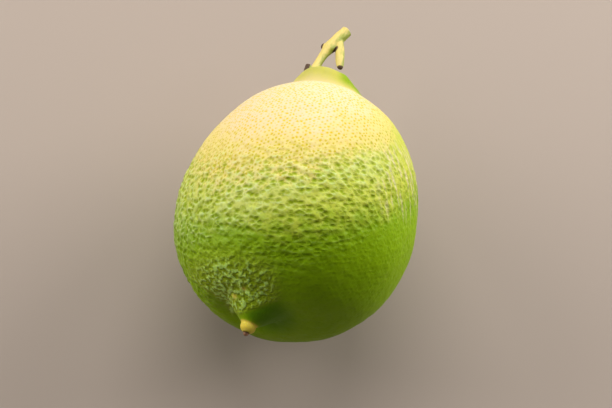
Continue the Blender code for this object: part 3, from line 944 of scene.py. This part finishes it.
def rind_relief(smooth, from_nipple, from_neck, hollow, crowding, settings):
    """How far each point of the rind stands out of the smooth shape, and marks for its material.

    Glands are sunk by their hollow, between low swells that are longer from side to side. Finer noise makes
    pebbles on the nipple's flank, between its crease and its shaded far side. Knob and neck top stay smooth.
    The marks are how strong the pits are, how pale the painted sheen makes the ridges between them, the
    flank, which carries painted light, the painted shade on the nipple's far side, the painted highlight
    streaks on the right rim and the yellow specks.
    """
    blossom_half = smooth[:, 1] < 0.0
    bare = rises(from_nipple, KNOB_RADIUS, KNOB_APRON)
    bare = np.where(blossom_half, bare, rises(from_neck, *NECK_SMOOTH))
    close = np.where(blossom_half, rises(from_nipple, 1.25 * KNOB_RADIUS, KNOB_MARGIN), 1.0)
    right, up, back = view_axes()
    laid = lay_down(smooth) - CENTRE_PLACE
    side, height = laid @ right, laid @ up

    ripe = rises(height, *RIPE_RELIEF)
    lee_edge = LEE_EDGE + LEE_BEND_SLOPE * np.minimum(height - LEE_BEND, 0.0)
    slope = np.where(height < CREASE_PLACE[1], *CREASE_SLOPES)
    crease = CREASE_PLACE[0] - slope * (height - CREASE_PLACE[1])
    flank = falls(from_nipple, *FLANK_REACH) * falls(side, lee_edge, FLANK_EDGE)
    flank = flank * rises(side, crease, CREASE_WIDTH) * blossom_half
    (lee_inset, lee_fade), (crease_inset, crease_fade) = LEE_INSETS
    # Painted shade: the nipple's far side, away from the light, is darkened.
    lee_shade = falls(from_nipple, *LEE_REACH) * rises(side, lee_edge - lee_inset, lee_fade)
    lee_shade = lee_shade * rises(side, crease + crease_inset, crease_fade) * blossom_half
    edge = np.minimum(ROUGH_EDGE + ROUGH_EDGE_SLOPE * height, ROUGH_EDGE_LIMIT)
    rough = ROUGH_LEAST + (1.0 - ROUGH_LEAST) * smooth_step((edge - side) / ROUGH_FADE + 0.5)
    left = np.maximum(LEFT_START - side, 0.0)
    lit = rises(height - RIGHT_LIT * np.maximum(side, 0.0) + LEFT_LIT * left, *LIT_RISE)
    fading = rises(height + LEFT_FADING * left, *FADING_RISE)
    fading = FADING_LEAST + (1.0 - FADING_LEAST) * fading

    # Taking part of a direction out of the points draws the noise out along it.
    swells = wave_noise(laid - 0.40 * side[:, None] * right, *SWELL_WAVES)
    swells = np.clip(swells, -NOISE_LIMIT, NOISE_LIMIT)
    pebbles = 0.8 * wave_noise(laid, *SMALL_PEBBLE_WAVES) + 0.6 * wave_noise(laid, *LARGE_PEBBLE_WAVES)
    pebbles = np.clip(pebbles, -NOISE_LIMIT, NOISE_LIMIT)
    low = settings.swell_height * rough * (1.0 - 0.8 * ripe) * swells
    bumps = settings.pebble_height * (0.35 * pebbles + 0.2)
    sunk = settings.gland_depth * hollow / crowding**GLAND_CROWDING_POWER
    stand = (low + (bumps - low) * flank - sunk) * bare
    stand = stand + BODY_WAVE_HEIGHT * wave_noise(laid, *BODY_WAVES)

    run = laid - 0.9 * height[:, None] * up - 0.6 * side[:, None] * right
    # Painted highlight streaks along the right rim, where light grazes it; the coat follows them too.
    rim = rises(side, *RIM_SIDE) * rises(height, *RIM_FOOT) * rises(laid @ back, *RIM_BACK)
    rim = rim * falls(height, *RIM_TOP) * rises(wave_noise(run, *STREAK_WAVES), *RIM_STREAK)
    speck = sum(np.exp(-((side - x) ** 2 + (height - y) ** 2) / size**2) for x, y, size in SPECKS)
    unripe_rough = (1.0 - ripe) * rough
    # Painted sheen: strongest where the ridges are lit from above, weaker lower down.
    ridges = (0.1 + 0.9 * lit) * (0.75 + 0.25 * swells)
    return stand, {
        "pitting": unripe_rough * fading * (1.0 - 0.8 * flank) * bare,
        "waxy_sheen": unripe_rough * rough * ridges * (1.0 - flank) * bare,
        "flank": flank * close,
        "lee_shade": 0.85 * lee_shade * bare,
        "rim": rim,
        "speck": speck * blossom_half * bare,
    }


class LEMON_OT_rind(bpy.types.Operator):
    """Builds the rind with its oil glands, neck, nipple and knob"""

    bl_idname = "lemon.rind"
    bl_label = "Rind"

    def execute(self, context):
        settings = context.scene.lemon_rind
        directions, faces, hollow = gland_sphere(settings.glands_per_edge, GLAND_SEED)
        smooth, crowding = fruit_surface(directions)
        blossom_half = smooth[:, 1] < 0.0
        from_nipple, _ = offset_from(NIPPLE_PLACE, smooth[:, 0], smooth[:, 2])
        from_neck, bearing = offset_from(NECK_PLACE, smooth[:, 0], smooth[:, 2])
        stand, marks = rind_relief(smooth, from_nipple, from_neck, hollow, crowding, settings)
        ring = np.exp(-(((from_nipple / KNOB_RADIUS - KNOB_WAIST[0]) / KNOB_WAIST[1]) ** 2))
        middle = knob_height(from_nipple) / KNOB_HEIGHT
        stand = stand + (KNOB_BULGE * ring + KNOB_RISE * middle) * blossom_half
        stand = stand * rises(lay_down(smooth)[:, 2], *FLOOR_CLEARANCE)
        points = lay_down(smooth + vertex_normals(smooth, faces) * stand[:, None])
        points[:, 2] = np.maximum(points[:, 2], 0.0)
        knob = falls(from_nipple, 1.4 * KNOB_RADIUS, 0.3 * KNOB_RADIUS) * blossom_half
        dry = falls(from_nipple, 1.1 * STYLE_RADIUS, 0.5 * STYLE_RADIUS) * blossom_half
        neck = falls(from_neck / neck_foot(bearing)[1], 1.0, NECK_EDGE) * ~blossom_half
        sunny_rib = rises(np.cos(bearing - math.radians(SUNNY_RIB_BEARING)), *SUNNY_RIB_EDGE)
        marks["gland"] = hollow * (1.0 - knob)
        marks = {key: values * (1.0 - neck) for key, values in marks.items()}
        marks.update(knob=knob, dry=dry, neck=neck, green_neck=neck * (1.0 - sunny_rib))
        piece = make_piece("rind", points, faces, rind_material(), **marks)
        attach(piece, "root")
        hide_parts("fruit")
        return {"FINISHED"}


def turned_grid(radius, height, sides):
    """A closed surface from tables of radii and heights: rows along the profile, columns round +Z.

    A table with one column stands for all sides. The first and last rows are drawn together into
    single points.
    """
    radius, height = (np.broadcast_to(table, (len(table), sides)) for table in (radius, height))
    angle = np.arange(sides) * 2.0 * math.pi / sides
    body = np.stack([radius * np.cos(angle), radius * np.sin(angle), height], axis=2)[1:-1].reshape(-1, 3)
    points = np.concatenate([[[0.0, 0.0, height[0, 0]]], body, [[0.0, 0.0, height[-1, 0]]]])
    rows = len(height) - 2
    ring = np.arange(sides)
    after = (ring + 1) % sides
    start = 1 + sides * np.arange(rows - 1)[:, None]
    low, low_after = start + ring, start + after
    lower = np.stack([low, low_after, low_after + sides], axis=2).reshape(-1, 3)
    upper = np.stack([low, low_after + sides, low + sides], axis=2).reshape(-1, 3)
    last = len(points) - 1
    bottom = np.stack([0 * ring, 1 + after, 1 + ring], axis=1)
    top = np.stack([0 * ring + last, last - sides + ring, last - sides + after], axis=1)
    return points, np.concatenate([bottom, lower, upper, top])


def calyx_material():
    """Leathery green sepals, brown and dry at their tips."""
    hues = bpy.context.scene.lemon_colours
    material, tree, shader, place = new_material("calyx_leaf")
    mottle, grain = skin_grain(tree, place, 900.0, 4200.0)
    dry = plus(tree, attribute(tree, "tip"), patchy(tree, mottle, 0.3))
    lighter = [SEPAL_LIGHTENING * part for part in hues.sepal]
    patches = (ramp(tree, mottle, *PATCH_RANGE), lighter)
    surface = {
        "Base Color": paint(tree, hues.sepal, patches, (ramp(tree, dry, 0.45, 0.95), hues.scar)),
        "Roughness": ramp(tree, dry, 0.2, 1.0, 0.5, 0.8),
        "Normal": relief(tree, grain, 0.00006),
    }
    feed(tree, shader, surface)
    return material


class LEMON_OT_calyx(bpy.types.Operator):
    """Builds the calyx, a low button of five sepals with a groove between each two"""

    bl_idname = "lemon.calyx"
    bl_label = "Calyx"

    def execute(self, context):
        angle = np.arange(CALYX_SIDES) * 2.0 * math.pi / CALYX_SIDES
        lobe = np.abs(np.cos(0.5 * CALYX_LOBES * angle)) ** 0.7
        # Each row's share of the radius, and how far it has come from the underside to the top.
        under, rim, top = CALYX_ROWS
        share = np.concatenate([np.linspace(0.0, 1.0, under), np.ones(rim), np.linspace(0.97, 0.0, top)])
        side = np.concatenate([np.zeros(under), np.linspace(0.15, 1.0, rim), np.ones(top)])[:, None]
        share = share[:, None]
        dried = smooth_step((np.cos(angle - math.pi) - 0.2) / 0.6)
        radius = share * CALYX_RADIUS * (0.86 + 0.30 * lobe * smooth_step(share / 0.9))
        radius = radius * (1.0 - 0.20 * dried * rises(share, 0.75, 0.25))
        dome = CALYX_MIDDLE_THICKNESS - CALYX_RIM_THICKNESS
        dome = CALYX_RIM_THICKNESS + dome * falls(share, 0.95, 0.5)
        groove = CALYX_GROOVE * (1.0 - lobe) ** 1.5 * smooth_step(share / 0.4)
        height = side * (dome - groove) - 0.8 * GAP * (1.0 - side)
        height = height + side * CALYX_LOBE_RISE * lobe * rises(share, 0.7, 0.3)
        height = height + side * CALYX_DRIED_RISE * dried * rises(share, 0.30, 0.35)
        points, faces = turned_grid(radius, height, CALYX_SIDES)
        rim_share = np.hypot(points[:, 0], points[:, 1]) / (1.1 * CALYX_RADIUS)
        brown = rim_share**2 + falls(points[:, 0], -0.0010, 0.0008)
        waves = SEPAL_WAVE_HEIGHT * wave_noise(points, *SEPAL_WAVES)
        points = points + np.array([0.0, 0.0, GAP]) + waves[:, None]
        standing = stand_on(CALYX_PLACE, NECK_TOP, 1.0, points)
        piece = make_piece("calyx_sepals", standing, faces, calyx_material(), tip=brown)
        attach(piece, "root")
        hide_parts("calyx")
        return {"FINISHED"}


def stem_centreline(share):
    """Points up the stem and its direction there: out of the calyx, then leaning ever more to +X."""
    still = 0.0 * share
    path = np.stack([STEM_LEAN * share**STEM_LEAN_POWER, still, STEM_LENGTH * share], axis=1)
    lean = STEM_LEAN * STEM_LEAN_POWER * share ** (STEM_LEAN_POWER - 1.0)
    along = np.stack([lean, still, still + STEM_LENGTH], axis=1)
    return path, along / np.linalg.norm(along, axis=1)[:, None]


def carried_tube(path, along, radii, sides):
    """A closed tube: a circle of the path's own radius carried square to it, its ends drawn to points."""
    angle = np.arange(sides) * 2.0 * math.pi / sides
    across = np.cross([0.0, 1.0, 0.0], along)
    across /= np.linalg.norm(across, axis=1)[:, None]
    other = np.cross(along, across)
    ring = np.cos(angle)[None, :, None] * across[:, None] + np.sin(angle)[None, :, None] * other[:, None]
    body = (path[:, None] + radii[:, None, None] * ring).reshape(-1, 3)
    points = np.concatenate([path[:1], body, path[-1:]])
    rows = np.zeros((len(path) + 2, 1))
    return points, turned_grid(rows, rows, sides)[1]


def stalk_parts():
    """The stub, then its spur and scars: each a tube, with where it ends and the way it points there."""
    share = np.linspace(0.0, 1.0, STEM_STEPS)
    path, along = stem_centreline(share)
    flare = (STEM_FOOT_RADIUS - STEM_THIN_RADIUS) * np.exp(-share / STEM_FLARE_SHARE)
    widened = rises(share, STEM_WIDENING_START, STEM_WIDENING_SHARE)
    radii = STEM_THIN_RADIUS + (STEM_CUT_RADIUS - STEM_THIN_RADIUS) * widened + flare
    place, width = STEM_SWELLING_PLACE
    swelling = STEM_SWELLING * np.exp(-(((share - place) / width) ** 2))
    tubes = [(*carried_tube(path, along, radii + swelling, STEM_SIDES), path[-1], along[-1])]
    for height, side, rise, reach, radius in STALK_SCARS:
        foot, _ = stem_centreline(np.array([height]))
        way = np.array([math.cos(math.radians(side)), math.sin(math.radians(side)), rise])
        way /= np.linalg.norm(way)
        step = np.linspace(0.0, 1.0, SCAR_STEPS)
        bulge = radius * (0.80 + 0.28 * np.sin(math.pi * step**1.4)) * np.sqrt(1.0 - 0.75 * step**8)
        spur = foot + step[:, None] * reach * way
        ways = np.tile(way, (SCAR_STEPS, 1))
        tubes.append((*carried_tube(spur, ways, bulge, SCAR_STEPS), spur[-1], way))
    return tubes


def fused(points, faces):
    """One skin round overlapping tubes: a voxel remesh, then smoothing. Returns points and triangles."""
    mesh = bpy.data.meshes.new("rough_stalk")
    mesh.from_pydata(points.tolist(), [], faces.tolist())
    rough = bpy.data.objects.new("rough_stalk", mesh)
    bpy.context.scene.collection.objects.link(rough)
    remesh = rough.modifiers.new("fuse", "REMESH")
    remesh.mode = "VOXEL"
    remesh.voxel_size = STEM_VOXEL
    rough.modifiers.new("soften", "SMOOTH").iterations = 3
    evaluated = rough.evaluated_get(bpy.context.evaluated_depsgraph_get())
    done = evaluated.to_mesh()
    skin = np.empty(len(done.vertices) * 3, np.float32)
    done.vertices.foreach_get("co", skin)
    done.calc_loop_triangles()
    triangles = np.empty(len(done.loop_triangles) * 3, np.int32)
    done.loop_triangles.foreach_get("vertices", triangles)
    evaluated.to_mesh_clear()
    bpy.data.objects.remove(rough)
    bpy.data.meshes.remove(mesh)
    return skin.reshape(-1, 3).astype(float), triangles.reshape(-1, 3)


def stem_material():
    """Yellow-green bark, painted green as shade on the side away from the light, with brown freckles and
    scars and a pale cut face.
    """
    hues = bpy.context.scene.lemon_colours
    material, tree, shader, place = new_material("stalk_bark")
    mottle, grain = skin_grain(tree, place, 420.0, 2600.0)
    patches = patchy(tree, mottle, 0.15)
    # Painted shade: the stem's side away from the light is painted green.
    lower = plus(tree, attribute(tree, "under"), patches)
    scar = plus(tree, attribute(tree, "scar"), patches)
    spots = {"Vector": place, "Scale": 900.0, "Size": 0.25, "Share": 0.22}
    tint = paint(
        tree,
        hues.bark,
        (ramp(tree, lower, 0.30, 0.75), hues.green_bark),
        (times(tree, use_group(tree, "Freckles", spots)["Mask"], 0.35), hues.scar),
        (ramp(tree, scar, 0.35, 0.75), hues.scar),
        (attribute(tree, "cut"), hues.cut_wood),
    )
    surface = {
        "Base Color": tint,
        "Roughness": ramp(tree, scar, 0.2, 0.9, 0.5, 0.8),
        "Normal": relief(tree, grain, 0.00008),
    }
    feed(tree, shader, surface)
    return material


class LEMON_OT_stem(bpy.types.Operator):
    """Builds the stub of the stalk, its spur and the scars of fallen flower stalks"""

    bl_idname = "lemon.stem"
    bl_label = "Stem"

    def execute(self, context):
        tubes = stalk_parts()
        starts = np.cumsum([0] + [len(tube[0]) for tube in tubes[:-1]])
        points = np.concatenate([tube[0] for tube in tubes])
        faces = np.concatenate([tube[1] + start for tube, start in zip(tubes, starts)])
        points, faces = fused(points, faces)
        normals = vertex_normals(points, faces)
        scar = np.zeros(len(points))
        for _, _, end, way in tubes[1:]:
            past = (points - end) @ way
            near = np.linalg.norm(points - end, axis=1)
            scar = np.maximum(scar, rises(past, -0.0013, 0.0010) * falls(near, 0.0026, 0.0014))
        _, _, end, way = tubes[0]
        cut = rises(normals @ way, 0.75, 0.2) * rises((points - end) @ way, -0.0004, 0.0002)
        # The bark's grooves are noise drawn out to four times its length along the stem.
        grooves = BARK_WAVE_HEIGHT * wave_noise(points * np.array([1.0, 1.0, 0.25]), *BARK_WAVES)
        points = points + normals * (grooves * (1.0 - cut))[:, None]
        foot = CALYX_MIDDLE_THICKNESS + GAP
        standing = stand_on(CALYX_PLACE, NECK_TOP, 1.0, points + np.array([0.0, 0.0, foot]))
        right, up, _ = view_axes()
        # Painted shade: the side facing down and to the right in the view, away from the light, is marked to
        # be painted green.
        under = 0.5 + 0.5 * vertex_normals(standing, faces) @ (0.55 * right - 0.83 * up)
        piece = make_piece("stalk", standing, faces, stem_material(), scar=scar, cut=cut, under=under)
        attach(piece, "root")
        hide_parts("stem")
        return {"FINISHED"}


def style_material():
    """Dry brown, darker in patches."""
    hues = bpy.context.scene.lemon_colours
    material, tree, shader, place = new_material("dry_style")
    mottle, grain = skin_grain(tree, place, 2200.0, 6000.0)
    surface = {
        "Base Color": blend_colour(tree, ramp(tree, mottle, 0.35, 0.7), hues.dry_style, hues.scar),
        "Roughness": 0.85,
        "Normal": relief(tree, grain, 0.00006),
    }
    feed(tree, shader, surface)
    return material


class LEMON_OT_style(bpy.types.Operator):
    """Builds the dry stump of the style on the knob"""

    bl_idname = "lemon.style"
    bl_label = "Style"

    def execute(self, context):
        share = np.linspace(0.0, 1.0, STYLE_STEPS)[:, None]
        radius = STYLE_RADIUS * np.sqrt(1.0 - share**3) * (1.05 - 0.2 * share)
        radius[0] = 0.0
        height = STYLE_STAND * STYLE_LENGTH * share - GAP * (1.0 - share)
        points, faces = turned_grid(radius, height, STYLE_SIDES)
        waves = STYLE_WAVE_HEIGHT * wave_noise(points, *STYLE_WAVES)
        points = points + vertex_normals(points, faces) * waves[:, None] + np.array([0.0, 0.0, GAP])
        standing = stand_on(NIPPLE_PLACE, -knob_reach() - KNOB_RISE, -1.0, points)
        piece = make_piece("style_stump", standing, faces, style_material())
        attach(piece, "root")
        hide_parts("style_remnant")
        return {"FINISHED"}


def add_light(name, direction, size, watts):
    """A square area light that shines on the fruit from this direction."""
    lamp = bpy.data.lights.new(name, "AREA")
    lamp.size = size
    lamp.energy = watts
    light = bpy.data.objects.new(name, lamp)
    way = Vector(direction / np.linalg.norm(direction))
    light.location = Vector(CENTRE_PLACE) + way * LAMP_DISTANCE
    light.rotation_euler = way.to_track_quat("Z", "Y").to_euler()
    bpy.context.scene.collection.objects.link(light)


def add_camera():
    """The photograph's viewing angle, with the fruit where the photograph has it."""
    right, up, back = view_axes()
    focal_px = LENS_MM / SENSOR_MM * PICTURE_PX[0]
    aside = (PICTURE_PX[0] / 2.0 - FRUIT_CENTRE_PX[0]) / focal_px * VIEW_DISTANCE
    above = (FRUIT_CENTRE_PX[1] - PICTURE_PX[1] / 2.0) / focal_px * VIEW_DISTANCE
    eye = CENTRE_PLACE + back * VIEW_DISTANCE + right * aside + up * above
    lens = bpy.data.cameras.new("camera")
    lens.lens = LENS_MM
    lens.sensor_width = SENSOR_MM
    lens.clip_start = 0.01
    camera = bpy.data.objects.new("camera", lens)
    camera.matrix_world = Matrix.Translation(Vector(eye)) @ Matrix(np.stack([right, up, back]).T).to_4x4()
    bpy.context.scene.collection.objects.link(camera)
    bpy.context.scene.camera = camera


class LEMON_OT_stage(bpy.types.Operator):
    """Builds the floor, the lights and the camera"""

    bl_idname = "lemon.stage"
    bl_label = "Stage"

    def execute(self, context):
        stage = context.scene.lemon_stage
        square = np.array([[-1.0, -1.0, 0.0], [1.0, -1.0, 0.0], [1.0, 1.0, 0.0], [-1.0, 1.0, 0.0]])
        corners = FLOOR_REACH * square
        finish, tree, shader, _ = new_material("plain_floor")
        feed(tree, shader, {"Base Color": (*stage.floor, 1.0), "Roughness": 0.8})
        make_piece("floor", corners, np.array([[0, 1, 2, 3]]), finish)
        right, up, back = view_axes()
        add_light("key", up + 0.5 * back, 0.55, stage.key_power)
        add_light("right", right + 0.6 * up + 0.1 * back, 0.40, stage.right_power)
        add_light("left", 0.6 * up - right + 0.5 * back, 0.40, stage.left_power)
        world = bpy.data.worlds.new("soft_sky")
        world.use_nodes = True
        sky = {"Color": SKY_COLOUR, "Strength": stage.sky}
        feed(world.node_tree, world.node_tree.nodes["Background"], sky)
        context.scene.world = world
        context.scene.view_settings.view_transform = "Standard"
        add_camera()
        return {"FINISHED"}


class LEMON_PT_sidebar(bpy.types.Panel):
    """Lists the sizes and colours, and the pieces to build"""

    bl_idname = "LEMON_PT_sidebar"
    bl_label = "Half-ripe lemon"
    bl_space_type = "VIEW_3D"
    bl_region_type = "UI"
    bl_category = "Lemon"

    def draw(self, context):
        scene = context.scene
        for settings in (scene.lemon_rind, scene.lemon_colours, scene.lemon_stage):
            column = self.layout.column(align=True)
            for key in settings.__annotations__:
                column.prop(settings, key)
        for operator in OPERATORS:
            self.layout.operator(operator.bl_idname)


OPERATORS = (LEMON_OT_rind, LEMON_OT_calyx, LEMON_OT_stem, LEMON_OT_style, LEMON_OT_stage)
SETTINGS = {
    "lemon_rind": LemonRindSettings,
    "lemon_colours": LemonColours,
    "lemon_stage": LemonStage,
}


def register():
    for known in (*SETTINGS.values(), *OPERATORS, LEMON_PT_sidebar):
        bpy.utils.register_class(known)
    for name, settings in SETTINGS.items():
        setattr(bpy.types.Scene, name, PointerProperty(type=settings))


def unregister():
    for name in SETTINGS:
        delattr(bpy.types.Scene, name)
    for known in (LEMON_PT_sidebar, *reversed(OPERATORS), *reversed(tuple(SETTINGS.values()))):
        bpy.utils.unregister_class(known)


def main():
    register()
    bpy.ops.lemon.rind()
    bpy.ops.lemon.calyx()
    bpy.ops.lemon.stem()
    bpy.ops.lemon.style()
    bpy.ops.lemon.stage()


if __name__ == "__main__":
    main()
